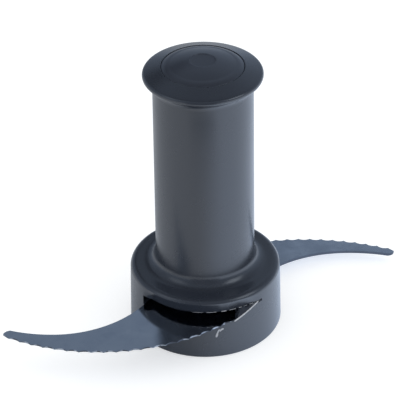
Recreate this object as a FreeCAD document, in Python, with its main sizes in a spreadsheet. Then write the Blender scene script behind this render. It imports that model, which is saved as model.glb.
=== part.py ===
"""Food processor cutter: a tall moulded hub that carries two serrated sickle blades.

The hub stands on the foot of its drum, with the axis of rotation on Z and the foot at Z = 0.
The upper blade reaches out along -X and the lower one along +X. Lengths are in millimetres.
"""
import FreeCAD, Part
import math
import os
import re

import Sketcher

# Driving dimensions: name, value, what it is
dimensions = [
    ("foot_radius", 31.5, "drum at the foot"),
    ("foot_round", 0.6, "edge round at the foot"),
    ("collar_radius", 31.0, "drum just under the collar's round edge"),
    ("collar_height", 27.6, "top face of the collar"),
    ("collar_round", 2.6, "round edge of the collar"),
    ("collar_foot_fillet", 5.0, "fillet between the collar and the column"),
    ("column_radius", 20.2, "column, halfway up its draft"),
    ("column_wall", 2.8, "wall of the column"),
    ("neck_fillet", 4.4, "flare under the flange"),
    ("rim_radius", 23.9, "flange at its widest"),
    ("rim_drop", 3.5, "widest ring of the flange, below the edge of the cap's recess"),
    ("rim_round", 1.4, "round of the rim, over and under that ring"),
    ("flange_height", 119.5, "flange at the edge of the cap's recess"),
    ("flange_slope", 18.7, "fall of the flange from there to its rim, in degrees"),
    ("cap_radius", 16.2, "rim of the cap"),
    ("cap_gap", 0.3, "gap round the cap"),
    ("cap_recess", 2.6, "depth of the recess under the cap's rim"),
    ("cap_crown", 2.8, "height of the cap's dome above the flange"),
    ("cap_shoulder_radius", 13.2, "where the dome of the cap turns into its steeper edge"),
    ("cap_shoulder_rise", 0.85, "height of that ring above the flange"),
    ("cap_edge_fall", 0.5, "how far the cap's rim lies below the flange"),
    ("cap_edge_round", 0.5, "broken edge at the cap's rim"),
    ("cap_wall", 3.4, "thickness of the cap at its middle"),
    ("cap_plug_radius", 14.4, "plug ring under the cap"),
    ("cap_plug_wall", 1.5, "wall of the plug ring"),
    ("cap_plug_gap", 0.2, "clearance between the plug ring and the ledge's bore"),
    ("cap_ledge", 4.5, "thickness of the ledge that the cap snaps behind"),
    ("cap_bead", 0.6, "how far the snap bead stands out"),
    ("cap_snap_gap", 0.1, "play between the bead and the ledge's underside"),
    ("cap_mark_radius", 5.2, "plain round recess in the middle of the cap"),
    ("cap_mark_depth", 0.25, "depth of that recess"),
    ("drum_core_height", 25.0, "top of the solid drum inside the column"),
    ("core_pocket_depth", 3.0, "pockets that core the drum's underside"),
    ("core_pocket_inner", 22.4, "inner radius of the pockets"),
    ("core_pocket_wall", 3.0, "drum wall outside the pockets"),
    ("core_rib_angle", 5.0, "angle that each rib between two pockets takes"),
    ("core_pocket_count", 12, "number of pockets"),
    ("blade_thickness", 1.2, "steel sheet of both blades"),
    ("blade_pitch", 4.86, "tilt of a blade about its length, leading edge down"),
    ("upper_blade_height", 19.25, "top face of the upper blade at the axis"),
    ("lower_blade_height", 8.1, "top face of the lower blade at the axis"),
    ("edge_radius", 85.0, "arc that the tooth tips lie on"),
    ("edge_heading", 137.45, "heading of that arc's centre from the axis, in degrees"),
    ("edge_margin", 2.26, "how far that arc passes outside the root plate's corners"),
    ("tip_share", 0.448235, "how far out the first tooth tip lies, as a share of that radius"),
    ("point_out", 2.4, "outermost point of the wing, beyond the first tooth tip"),
    ("point_back", 2.58, "outermost point of the wing, behind the first tooth tip"),
    ("shoulder_in", 0.4, "corner between the wing's end and its back edge, from the first tooth tip"),
    ("tip_round", 3.2, "round of that corner"),
    ("waist_share", 0.2306, "how far out the waist of the wing lies, as a share of the edge's radius"),
    ("waist_width", 8.61, "width of the wing there, square to its length"),
    ("back_outer_radius", 60.0, "back edge from the waist to the tip"),
    ("back_inner_radius", 45.1, "back edge from the waist to the hub"),
    ("root_share", 0.911, "how far the back edge runs on into the drum, as a share of that radius"),
    ("heel_x", 24.0, "where the leading edge ends inside the drum"),
    ("root_plate_radius", 26.4, "corners of the eight-sided plate at the blade's root, inside the drum"),
    ("root_hole_radius", 17.2, "corners of that plate's eight-sided hole, which can't turn in the plastic"),
    ("anchor_width", 4.0, "square holes that the plastic fills, to hold the root"),
    ("anchor_circle_radius", 21.3, "circle of the anchor holes"),
    ("anchor_count", 5, "anchor holes, all on the side away from the wing"),
    ("bevel_width", 2.2, "ground bevel under the leading edge"),
    ("edge_land", 0.3, "thickness that the bevel leaves"),
    ("tooth_pitch", 5.0, "from tooth tip to tooth tip"),
    ("tooth_count", 19, "scallops along the leading edge"),
    ("tooth_depth", 0.95, "depth of a scallop in the top face"),
    ("scallop_slope", 0.25, "how much narrower a scallop is at the underside"),
    ("slot_left", 25.6, "end of the slot behind the blade, from the axis"),
    ("slot_right", 22.85, "top end of the ramp over the blade's heel"),
    ("ramp_foot", 12.1, "foot of that ramp"),
    ("slot_opening", 5.8, "height of the slot's mouth over the blade, at the front of the drum"),
    ("slot_draft", 3.0, "fall of the slot's roof towards the inside, in degrees"),
    ("slot_back_radius", 18.4, "how deep the slot reaches towards the sleeve"),
    ("spindle_radius", 12.0, "bore that turns round the bowl's spindle"),
    ("sleeve_wall", 2.0, "wall of the sleeve"),
    ("sleeve_gap", 0.2, "clearance between the sleeve and the drum"),
    ("sleeve_flange_radius", 20.0, "flange at the foot of the sleeve"),
    ("sleeve_flange_thickness", 2.2, "thickness of that flange"),
    ("sleeve_lift", 0.4, "the flange stays this much above the foot of the drum"),
    ("sleeve_headroom", 14.5, "closed top of the sleeve, below the flange's upper edge"),
    ("sleeve_web", 2.6, "thickness of the closed top"),
    ("fin_count", 6, "fins that centre the sleeve in the column"),
    ("fin_thickness", 1.6, "thickness of a fin"),
    ("fin_gap", 0.25, "clearance between a fin and the column"),
    ("fin_foot", 27.0, "lower end of the fins"),
    ("bush_radius", 9.4, "outside of the drive bush"),
    ("bush_gap", 0.1, "clearance round the bush in its seat"),
    ("bush_length", 14.0, "length of the bush"),
    ("bush_bore_radius", 4.6, "bore between the splines"),
    ("spline_depth", 1.7, "depth of a spline groove"),
    ("spline_width", 2.6, "width of a spline groove"),
    ("spline_count", 6, "spline grooves"),
    ("bush_lead_in", 1.2, "chamfer where the shaft enters"),
]

# Sizes that follow from those above: name, formula
derived = {
    "cap_recess_radius": "cap_radius + cap_gap",
    "cap_seat_height": "flange_height - cap_recess",
    "cap_bore_radius": "cap_plug_radius + cap_plug_gap",
    "ledge_under_height": "flange_height - cap_recess - cap_ledge",
    "column_bore_radius": "column_radius - column_wall",
    "rim_height": "flange_height - rim_drop",
    "sleeve_radius": "spindle_radius + sleeve_wall",
    "drum_bore_radius": "spindle_radius + sleeve_wall + sleeve_gap",
    "flange_recess_radius": "sleeve_flange_radius + sleeve_gap",
    "flange_recess_height": "sleeve_lift + sleeve_flange_thickness",
    "bush_seat_radius": "bush_radius + bush_gap",
    "sleeve_height": "flange_height - sleeve_headroom",
    "bush_top_height": "sleeve_height - sleeve_web",
    "centre_reach": "edge_radius - root_plate_radius - edge_margin",
    "edge_centre_x": "centre_reach * cos(edge_heading)",
    "edge_centre_y": "centre_reach * sin(edge_heading)",
    "waist_x": "edge_centre_x - waist_share * edge_radius",
    "waist_y": "edge_centre_y - edge_radius * sqrt(1 - waist_share ^ 2) + waist_width",
    "tip_x": "edge_centre_x - tip_share * edge_radius",
    "tip_y": "edge_centre_y - edge_radius * sqrt(1 - tip_share ^ 2)",
    "point_x": "tip_x - point_out",
    "point_y": "tip_y + point_back",
    "shoulder_x": "tip_x + shoulder_in",
    "root_x": "waist_x + root_share * back_inner_radius",
}

doc = FreeCAD.newDocument("cutter")
sheet = doc.addObject("Spreadsheet::Sheet", "Sizes")
for row, (name, value, note) in enumerate(dimensions, start=1):
    sheet.set(f"A{row}", name)
    sheet.set(f"B{row}", str(value))
    sheet.set(f"C{row}", note)
    sheet.setAlias(f"B{row}", name)
doc.recompute()

size_names = {name for name, value, note in dimensions}


def written_out(text):
    """Replace each derived name in a formula by its own formula."""
    return re.sub(r"[a-z_]+", lambda word: f"({written_out(derived[word[0]])})" if word[0] in derived
                  else word[0], text)


def bound(text):
    """The formula as another object of the document has to write it."""
    return re.sub(r"[a-z_]+", lambda word: f"Sizes.{word[0]}" if word[0] in size_names else word[0],
                  written_out(text))


def value_of(text):
    return float(sheet.evalExpression(written_out(text)))


def bind(thing, path, text):
    thing.setExpression(path, bound(text))


def new_body(name):
    body = doc.addObject("PartDesign::Body", name)
    body.Label = name
    return body


def plane_of(body, role):
    return [feature for feature in body.Origin.OriginFeatures if feature.Role == role][0]


def new_sketch(body, name, role, offset=("0", "0", "0")):
    """A sketch on one of the body's origin planes, moved by three formulas along the sketch's own axes."""
    sketch = body.newObject("Sketcher::SketchObject", name)
    sketch.AttachmentSupport = [(plane_of(body, role), "")]
    sketch.MapMode = "FlatFace"
    for axis, text in zip("xyz", offset):
        bind(sketch, f"AttachmentOffset.Base.{axis}", text)
    doc.recompute()
    return sketch


def pin_point(sketch, edge, end, corner):
    """Hold one end of an edge at a corner given by two formulas."""
    for kind, text in zip(("DistanceX", "DistanceY"), corner):
        index = sketch.addConstraint(Sketcher.Constraint(kind, -1, 1, edge, end, value_of(text)))
        bind(sketch, f"Constraints[{index}]", text)


def draw_outline(sketch, corners):
    """A closed outline. Each corner is (x, y) or (x, y, radius, side).

    With a radius, the edge from that corner to the next is an arc, whose centre lies on the given side of
    the way forward.
    """
    count = len(corners)
    first_ends = []
    last_ends = []
    for index, corner in enumerate(corners):
        start = FreeCAD.Vector(value_of(corner[0]), value_of(corner[1]), 0)
        following = corners[(index + 1) % count]
        end = FreeCAD.Vector(value_of(following[0]), value_of(following[1]), 0)
        if len(corner) == 2:
            edge = sketch.addGeometry(Part.LineSegment(start, end))
            first_ends.append((edge, 1))
            last_ends.append((edge, 2))
            continue
        radius = value_of(corner[2])
        chord = end - start
        left = FreeCAD.Vector(-chord.y, chord.x, 0).normalize()
        inward = left if corner[3] == "left" else left * -1
        centre = (start + end) * 0.5 + inward * math.sqrt(radius ** 2 - (chord.Length / 2) ** 2)
        begin, finish = (start, end) if corner[3] == "left" else (end, start)
        begin_angle = math.atan2(begin.y - centre.y, begin.x - centre.x)
        finish_angle = math.atan2(finish.y - centre.y, finish.x - centre.x)
        circle = Part.Circle(centre, FreeCAD.Vector(0, 0, 1), radius)
        edge = sketch.addGeometry(Part.ArcOfCircle(circle, begin_angle, finish_angle))
        first_ends.append((edge, 1 if corner[3] == "left" else 2))
        last_ends.append((edge, 2 if corner[3] == "left" else 1))
        number = sketch.addConstraint(Sketcher.Constraint("Radius", edge, radius))
        bind(sketch, f"Constraints[{number}]", corner[2])
    for index in range(count):
        sketch.addConstraint(Sketcher.Constraint("Coincident", *last_ends[index - 1], *first_ends[index]))
        pin_point(sketch, *first_ends[index], corners[index])
    doc.recompute()


def add_feature(body, kind, name, sketch, **settings):
    """A feature made from a sketch. A setting given as text is a formula."""
    feature = body.newObject(f"PartDesign::{kind}", name)
    feature.Profile = sketch
    for setting, given in settings.items():
        if isinstance(given, str):
            bind(feature, setting, given)
        else:
            setattr(feature, setting, given)
    body.Tip = feature
    doc.recompute()
    return feature


def add_turned(body, kind, name, sketch):
    """A feature turned all the way round the sketch's own vertical axis."""
    return add_feature(body, kind, name, sketch, ReferenceAxis=(sketch, ["V_Axis"]), Angle=360.0)


def add_pattern(body, name, feature, axis, count, angle):
    """Copies of a feature about an axis, spread evenly over an angle."""
    pattern = body.newObject("PartDesign::PolarPattern", name)
    pattern.Originals = [feature]
    pattern.Axis = axis
    bind(pattern, "Occurrences", count)
    bind(pattern, "Angle", angle)
    body.Tip = pattern
    doc.recompute()
    return pattern


def round_corners(x, y, radius, first, last, steps):
    """Corners on a circle, with straight runs between them: its centre, its radius and its two end angles.

    A round turned about the axis takes some thousands of facets, and these runs a few hundred.
    """
    angles = [f"(({first}) + (({last}) - ({first})) * {step} / {steps})" for step in range(steps + 1)]
    return [(f"{x} + {radius} * cos({angle})", f"{y} + {radius} * sin({angle})") for angle in angles]


def octagon(radius):
    """The corners of an eight-sided outline about the axis, which lie on a circle of that radius."""
    return round_corners("0", "0", radius, "22.5", "337.5", 7)


def make_hub_moulding():
    """The drum, collar, column and flange as one turned form, cored from below."""
    body = new_body("hub_moulding")
    section = new_sketch(body, "hub_section", "XZ_Plane")
    rim_centre = "(rim_radius - rim_round)"
    both_rounds = "(neck_fillet + rim_round)"
    neck_run = f"(column_radius + neck_fillet - {rim_centre})"
    neck_height = f"(rim_height - sqrt({both_rounds} ^ 2 - {neck_run} ^ 2))"
    neck_angle = f"(acos(-{neck_run} / {both_rounds}) / 1 deg)"
    draw_outline(section, [
        ("drum_bore_radius", "flange_recess_height"),
        ("flange_recess_radius", "flange_recess_height"),
        ("flange_recess_radius", "0"),
        ("foot_radius - foot_round", "0"),
        ("foot_radius", "foot_round"),
        *round_corners("(collar_radius - collar_round)", "(collar_height - collar_round)", "collar_round",
                       "0", "90", 3),
        *round_corners("(column_radius + collar_foot_fillet)", "(collar_height + collar_foot_fillet)",
                       "collar_foot_fillet", "270", "180", 4),
        *round_corners("(column_radius + neck_fillet)", neck_height, "neck_fillet", "180", neck_angle, 3),
        *round_corners(rim_centre, "rim_height", "rim_round", f"{neck_angle} - 180", "0", 2)[1:],
        *round_corners(rim_centre, "rim_height", "rim_round", "0", "90 - flange_slope", 2)[1:],
        ("cap_recess_radius", "flange_height"),
        ("cap_recess_radius", "cap_seat_height"),
        ("cap_bore_radius", "cap_seat_height"),
        ("cap_bore_radius", "ledge_under_height"),
        ("column_bore_radius", "ledge_under_height"),
        ("column_bore_radius", "drum_core_height"),
        ("drum_bore_radius", "drum_core_height"),
    ])
    add_turned(body, "Revolution", "hub_form", section)

    pocket_outline = new_sketch(body, "core_pocket_outline", "XY_Plane")
    half_angle = "(180 / core_pocket_count - core_rib_angle / 2)"
    outer = "(collar_radius - core_pocket_wall)"
    draw_outline(pocket_outline, [
        (f"core_pocket_inner * cos({half_angle})", f"-core_pocket_inner * sin({half_angle})"),
        (f"{outer} * cos({half_angle})", f"-{outer} * sin({half_angle})"),
        (f"{outer} * cos({half_angle})", f"{outer} * sin({half_angle})"),
        (f"core_pocket_inner * cos({half_angle})", f"core_pocket_inner * sin({half_angle})"),
    ])
    pocket = add_feature(body, "Pocket", "core_pocket", pocket_outline, Length="core_pocket_depth",
                         Reversed=True)
    add_pattern(body, "core_pockets", pocket, (plane_of(body, "Z_Axis"), [""]), "core_pocket_count", "360")
    return body


def make_blade(name):
    """One stamped and ground blade, flat, with its underside at Z = 0 and its wing along -X."""
    body = new_body(name)
    wing = new_sketch(body, f"{name}_outline", "XY_Plane")
    back_outer_y = "waist_y + back_outer_radius - sqrt(back_outer_radius ^ 2 - (shoulder_x - waist_x) ^ 2)"
    back_inner_y = "waist_y + back_inner_radius - sqrt(back_inner_radius ^ 2 - (root_x - waist_x) ^ 2)"
    draw_outline(wing, [
        ("tip_x", "tip_y", "edge_radius", "left"),
        ("heel_x", "edge_centre_y - sqrt(edge_radius ^ 2 - (heel_x - edge_centre_x) ^ 2)"),
        octagon("((root_plate_radius + root_hole_radius) / 2)")[-1],
        ("root_x", back_inner_y, "back_inner_radius", "right"),
        ("waist_x", "waist_y", "back_outer_radius", "right"),
        ("shoulder_x", back_outer_y, "tip_round", "left"),
        ("point_x", "point_y"),
    ])
    add_feature(body, "Pad", f"{name}_wing", wing, Length="blade_thickness")

    plate = new_sketch(body, f"{name}_plate_outline", "XY_Plane")
    draw_outline(plate, octagon("root_plate_radius"))
    add_feature(body, "Pad", f"{name}_plate", plate, Length="blade_thickness")

    hole = new_sketch(body, f"{name}_hole_outline", "XY_Plane")
    draw_outline(hole, octagon("root_hole_radius"))
    add_feature(body, "Pocket", f"{name}_hole", hole, Length="blade_thickness", Reversed=True)

    anchor = new_sketch(body, f"{name}_anchor_outline", "XY_Plane")
    draw_outline(anchor, [(f"anchor_circle_radius {along} anchor_width / 2", f"0 {across} anchor_width / 2")
                          for along, across in ("--", "+-", "++", "-+")])
    anchor_hole = add_feature(body, "Pocket", f"{name}_anchor_hole", anchor, Length="blade_thickness",
                              Reversed=True)
    add_pattern(body, f"{name}_anchor_holes", anchor_hole, (plane_of(body, "Z_Axis"), [""]),
                "anchor_count", "180")

    bevel = new_sketch(body, f"{name}_bevel_section", "XZ_Plane",
                       ("edge_centre_x", "0", "-edge_centre_y"))
    draw_outline(bevel, [
        ("edge_radius - bevel_width", "0"),
        ("edge_radius - bevel_width", "-blade_thickness"),
        ("edge_radius + bevel_width", "-blade_thickness"),
        ("edge_radius + bevel_width", "2 * (blade_thickness - edge_land)"),
    ])
    add_turned(body, "Groove", f"{name}_bevel", bevel)

    chord_half = "(tooth_pitch / 2)"
    scallop_radius = f"(({chord_half} ^ 2 + tooth_depth ^ 2) / (2 * tooth_depth))"
    reach = f"(edge_radius + {scallop_radius} - tooth_depth)"
    first_angle = ("(asin((tip_x - edge_centre_x) / edge_radius) / 1 deg"
                   " + 90 / pi * tooth_pitch / edge_radius)")
    scallop = new_sketch(body, f"{name}_scallop_section", "XZ_Plane",
                         (f"edge_centre_x + {reach} * sin({first_angle})", "0",
                          f"-(edge_centre_y - {reach} * cos({first_angle}))"))
    draw_outline(scallop, [
        ("0", "0"),
        (f"{scallop_radius} - scallop_slope", "0"),
        (scallop_radius, "blade_thickness"),
        (scallop_radius, "2 * blade_thickness"),
        ("0", "2 * blade_thickness"),
    ])
    first_scallop = add_turned(body, "Groove", f"{name}_scallop", scallop)
    add_pattern(body, f"{name}_scallops", first_scallop, (bevel, ["V_Axis"]), "tooth_count",
                "(tooth_count - 1) * 180 / pi * tooth_pitch / edge_radius")
    return body


def set_blades():
    """The two blades in the drum: the lower one is turned half a turn about the axis."""
    upper = make_blade("upper_blade")
    bind(upper, "Placement",
         "placement(vector(0; 0; upper_blade_height - blade_thickness); rotationx(blade_pitch))")
    lower = make_blade("lower_blade")
    bind(lower, "Placement",
         "placement(vector(0; 0; lower_blade_height - blade_thickness);"
         " rotationz(180) * rotationx(blade_pitch))")
    doc.recompute()
    return upper, lower


def make_slot(name, height, half_turn):
    """The space over a blade's root, left by the slide that holds the blade in the mould.

    It is the slot's outline seen from the front, drawn inwards. It is kept above the blade, under a roof
    with draft, and clear of the drum's inner ring.
    """
    body = new_body(f"{name}_shape")
    outline = new_sketch(body, f"{name}_outline", "XZ_Plane")
    lean = "tan(blade_pitch) * collar_radius"
    floor = f"({height} - {lean})"
    roof = f"({floor} + slot_opening)"
    ramp_run = f"(slot_right - ramp_foot) * blade_thickness * 3 / ({roof} - {floor})"
    draw_outline(outline, [
        ("-slot_left", f"{floor} - 3 * blade_thickness"),
        (f"ramp_foot - {ramp_run}", f"{floor} - 3 * blade_thickness"),
        ("slot_right", roof),
        ("-slot_left", roof),
    ])
    add_feature(body, "Pad", f"{name}_block", outline, Length="foot_radius + collar_round")

    below = doc.addObject("Part::Box", f"{name}_floor")
    above = doc.addObject("Part::Box", f"{name}_roof")
    for block in (below, above):
        for side in ("Length", "Width", "Height"):
            bind(block, side, "4 * foot_radius")
    bind(below, "Placement",
         f"placement(vector(0; 0; {height}); rotationx(blade_pitch))"
         " * placement(vector(-2 * foot_radius; -2 * foot_radius; -4 * foot_radius); rotationx(0))")
    bind(above, "Placement",
         f"placement(vector(0; -collar_radius; {roof}); rotationx(-slot_draft))"
         " * placement(vector(-2 * foot_radius; -2 * foot_radius; 0); rotationx(0))")
    core = doc.addObject("Part::Cylinder", f"{name}_core")
    bind(core, "Radius", "slot_back_radius")
    bind(core, "Height", "2 * collar_height")
    bind(core, "Placement.Base.z", "-collar_height")
    slot = body
    for label, tool in ((f"{name}_floored", below), (f"{name}_roofed", above), (name, core)):
        trimmed = doc.addObject("Part::Cut", label)
        trimmed.Base = slot
        trimmed.Tool = tool
        slot = trimmed
    bind(slot, "Placement", f"placement(vector(0; 0; 0); rotationz({180 if half_turn else 0}))")
    doc.recompute()
    return slot


def make_hub_body(upper, lower):
    """The moulding, with the slots and the room that the blades fill taken out of it."""
    moulding = make_hub_moulding()
    upper_slot = make_slot("upper_slot", "upper_blade_height", False)
    lower_slot = make_slot("lower_slot", "lower_blade_height", True)
    removed = doc.addObject("Part::MultiFuse", "slots")
    removed.Shapes = [upper_slot, lower_slot]
    slotted = doc.addObject("Part::Cut", "slotted_moulding")
    slotted.Base = moulding
    slotted.Tool = removed
    blades = doc.addObject("Part::Compound", "moulded_in_blades")
    blades.Links = [upper, lower]
    hub = doc.addObject("Part::Cut", "hub_body")
    hub.Base = slotted
    hub.Tool = blades
    hub.Label = "hub_body"
    doc.recompute()
    return hub


def make_top_cap():
    """The domed cap: its rim sits in the recess and its plug ring snaps behind the ledge."""
    body = new_body("top_cap")
    section = new_sketch(body, "cap_section", "XZ_Plane")
    shoulder_height = "(flange_height + cap_shoulder_rise)"
    crown_height = "(flange_height + cap_crown)"
    sag = "(cap_crown - cap_shoulder_rise)"
    dome_radius = f"((cap_shoulder_radius ^ 2 + {sag} ^ 2) / (2 * {sag}))"
    on_dome = f"({crown_height} - {dome_radius} + sqrt({dome_radius} ^ 2 - {{}} ^ 2))"
    mark_edge = on_dome.format("cap_mark_radius")
    between = "((cap_mark_radius + cap_shoulder_radius) / 2)"
    edge_height = "(flange_height - cap_edge_fall)"
    draw_outline(section, [
        ("0", f"{crown_height} - cap_wall"),
        ("cap_plug_radius - cap_plug_wall", f"{crown_height} - cap_wall"),
        ("cap_plug_radius - cap_plug_wall", "ledge_under_height - 3 * cap_bead"),
        ("cap_plug_radius - cap_bead / 2", "ledge_under_height - 3 * cap_bead"),
        ("cap_plug_radius + cap_bead", "ledge_under_height - cap_bead"),
        ("cap_plug_radius", "ledge_under_height - cap_snap_gap"),
        ("cap_plug_radius", "cap_seat_height"),
        ("cap_radius", "cap_seat_height"),
        ("cap_radius", f"{edge_height} - cap_edge_round"),
        ("cap_radius - cap_edge_round", edge_height),
        ("cap_shoulder_radius", shoulder_height),
        (between, on_dome.format(between)),
        ("cap_mark_radius", mark_edge),
        ("cap_mark_radius", f"{mark_edge} - cap_mark_depth"),
        ("0", f"{mark_edge} - cap_mark_depth"),
    ])
    add_turned(body, "Revolution", "cap_form", section)
    return body


def make_inner_sleeve():
    """The sleeve that turns round the spindle, with its flange, its fins and its closed top."""
    body = new_body("inner_sleeve")
    section = new_sketch(body, "sleeve_section", "XZ_Plane")
    draw_outline(section, [
        ("spindle_radius", "sleeve_lift"),
        ("sleeve_flange_radius", "sleeve_lift"),
        ("sleeve_flange_radius", "flange_recess_height"),
        ("sleeve_radius", "flange_recess_height"),
        ("sleeve_radius", "sleeve_height"),
        ("0", "sleeve_height"),
        ("0", "bush_top_height"),
        ("bush_seat_radius", "bush_top_height"),
        ("bush_seat_radius", "bush_top_height - bush_length"),
        ("spindle_radius", "bush_top_height - bush_length"),
    ])
    add_turned(body, "Revolution", "sleeve_form", section)

    fin_outline = new_sketch(body, "fin_outline", "XZ_Plane")
    draw_outline(fin_outline, [
        ("sleeve_radius - sleeve_wall / 2", "fin_foot"),
        ("column_bore_radius - fin_gap", "fin_foot"),
        ("column_bore_radius - fin_gap", "sleeve_height - sleeve_web"),
        ("sleeve_radius - sleeve_wall / 2", "sleeve_height - sleeve_web"),
    ])
    fin = add_feature(body, "Pad", "fin", fin_outline, Length="fin_thickness")
    fin.SideType = "Symmetric"
    add_pattern(body, "fins", fin, (plane_of(body, "Z_Axis"), [""]), "fin_count", "360")
    return body


def make_drive_bush():
    """The splined bush that the drive shaft enters from below."""
    body = new_body("drive_bush")
    section = new_sketch(body, "bush_section", "XZ_Plane")
    draw_outline(section, [
        ("bush_bore_radius + bush_lead_in", "bush_top_height - bush_length"),
        ("bush_radius", "bush_top_height - bush_length"),
        ("bush_radius", "bush_top_height"),
        ("bush_bore_radius", "bush_top_height"),
        ("bush_bore_radius", "bush_top_height - bush_length + bush_lead_in"),
    ])
    add_turned(body, "Revolution", "bush_form", section)

    groove = new_sketch(body, "spline_outline", "XY_Plane", ("0", "0", "bush_top_height - bush_length"))
    draw_outline(groove, [
        ("0", "-spline_width / 2"),
        ("bush_bore_radius + spline_depth", "-spline_width / 2"),
        ("bush_bore_radius + spline_depth", "spline_width / 2"),
        ("0", "spline_width / 2"),
    ])
    spline = add_feature(body, "Pocket", "spline_groove", groove, Length="bush_length", Reversed=True)
    add_pattern(body, "spline_grooves", spline, (plane_of(body, "Z_Axis"), [""]), "spline_count", "360")
    return body


def check_and_export(nodes):
    """Stop on any failed object or shape, and then write each node's STEP file."""
    failed = [thing.Name for thing in doc.Objects if "Invalid" in thing.State or "Error" in thing.State]
    if failed:
        raise RuntimeError(f"failed objects: {failed}")
    for node in nodes:
        if node.Shape.isNull() or not node.Shape.isValid():
            raise RuntimeError(f"bad shape: {node.Label}")
    os.makedirs("parts", exist_ok=True)
    for node in nodes:
        node.Shape.exportStep(f"parts/{node.Label}.step")
        print(node.Label, len(node.Shape.Solids), "solid", round(node.Shape.Volume, 1), "mm3")


upper_blade, lower_blade = set_blades()
hub_body = make_hub_body(upper_blade, lower_blade)
check_and_export([hub_body, make_top_cap(), upper_blade, lower_blade, make_inner_sleeve(), make_drive_bush()])
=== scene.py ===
import math

import bmesh
import bpy
import numpy as np
from mathutils import Matrix, Vector


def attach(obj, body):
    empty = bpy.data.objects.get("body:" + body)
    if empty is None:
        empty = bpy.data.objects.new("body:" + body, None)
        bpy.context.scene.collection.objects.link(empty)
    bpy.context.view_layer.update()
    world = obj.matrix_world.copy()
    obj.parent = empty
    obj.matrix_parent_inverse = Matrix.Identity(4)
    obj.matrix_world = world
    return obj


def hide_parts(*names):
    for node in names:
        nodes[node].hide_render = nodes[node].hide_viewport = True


# A food processor cutter: moulded hub with two serrated blades, seen on a pale table.
# All lengths in the dictionaries are millimetres, and all angles are degrees.

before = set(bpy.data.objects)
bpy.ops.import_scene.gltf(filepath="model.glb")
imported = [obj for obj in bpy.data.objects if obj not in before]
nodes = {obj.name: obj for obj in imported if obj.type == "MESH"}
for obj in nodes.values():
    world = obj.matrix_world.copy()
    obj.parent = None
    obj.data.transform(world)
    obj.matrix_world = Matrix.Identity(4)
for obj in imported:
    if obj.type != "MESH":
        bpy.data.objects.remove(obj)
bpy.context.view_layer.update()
print("frame loaded:", sorted(nodes))


# helpers

def toLinear(hexText):
    # sRGB hex to linear: a straight part near black, a power of 2.4 above it
    values = np.array([int(hexText[i:i + 2], 16) for i in (1, 3, 5)]) / 255
    linear = np.where(values <= 0.04045, values / 12.92, ((values + 0.055) / 1.055) ** 2.4)
    return (*linear.tolist(), 1.0)


def addNode(material, kind, inputs=None, **settings):
    # one node with its settings; an input takes a number, a colour or another node's output
    tree = material.node_tree
    node = tree.nodes.new(kind)
    for name, value in settings.items():
        setattr(node, name, value)
    for name, value in (inputs or {}).items():
        if isinstance(value, bpy.types.NodeSocket):
            tree.links.new(value, node.inputs[name])
        else:
            node.inputs[name].default_value = value
    return node


def newMaterial(name):
    material = bpy.data.materials.new(name)
    material.use_nodes = True
    material.node_tree.nodes.clear()
    return material


def arcPoints(centre, radius, first, last, count):
    # points of a circle in the r-z plane: centre plus radius times (cosine, sine), evenly from first to last
    angles = np.radians(np.linspace(first, last, count))
    return np.stack([centre[0] + radius * np.cos(angles), centre[1] + radius * np.sin(angles)], axis=1)


def linePoints(start, end, count):
    # evenly spaced points of a straight line, with both ends
    share = np.linspace(0, 1, count)[:, None]
    return np.array(start) * (1 - share) + np.array(end) * share


def gridPiece(name, points, closeRows, sharpAngle=32):
    # a mesh from a grid of points (rows, columns, 3): each cell is one quad, columns join round,
    # rows join too where the profile is a loop, doubles at poles merge, and faces turn outwards
    rows, columns = points.shape[:2]
    index = np.arange(rows * columns).reshape(rows, columns)
    right = np.roll(index, -1, axis=1)
    if closeRows:
        corner = [index, right, np.roll(right, -1, axis=0), np.roll(index, -1, axis=0)]
    else:
        corner = [index[:-1], right[:-1], right[1:], index[1:]]
    quads = np.stack([c.ravel() for c in corner], axis=1)
    place = points.reshape(-1, 3) * 0.001
    mesh = bpy.data.meshes.new(name)
    mesh.from_pydata(place.tolist(), [], quads.tolist())
    piece = bpy.data.objects.new(name, mesh)
    bpy.context.scene.collection.objects.link(piece)
    finishMesh(piece, sharpAngle)
    return piece


def finishMesh(piece, sharpAngle):
    work = bmesh.new()
    work.from_mesh(piece.data)
    bmesh.ops.remove_doubles(work, verts=work.verts, dist=2e-6)
    bmesh.ops.dissolve_degenerate(work, dist=1e-7, edges=work.edges)
    bmesh.ops.recalc_face_normals(work, faces=work.faces)
    if work.calc_volume(signed=True) < 0:
        bmesh.ops.reverse_faces(work, faces=work.faces)
    work.to_mesh(piece.data)
    work.free()
    piece.data.shade_smooth()
    piece.data.set_sharp_from_angle(angle=math.radians(sharpAngle))


def setMaterial(piece, material):
    piece.data.materials.clear()
    piece.data.materials.append(material)
    return piece


# materials

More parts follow.
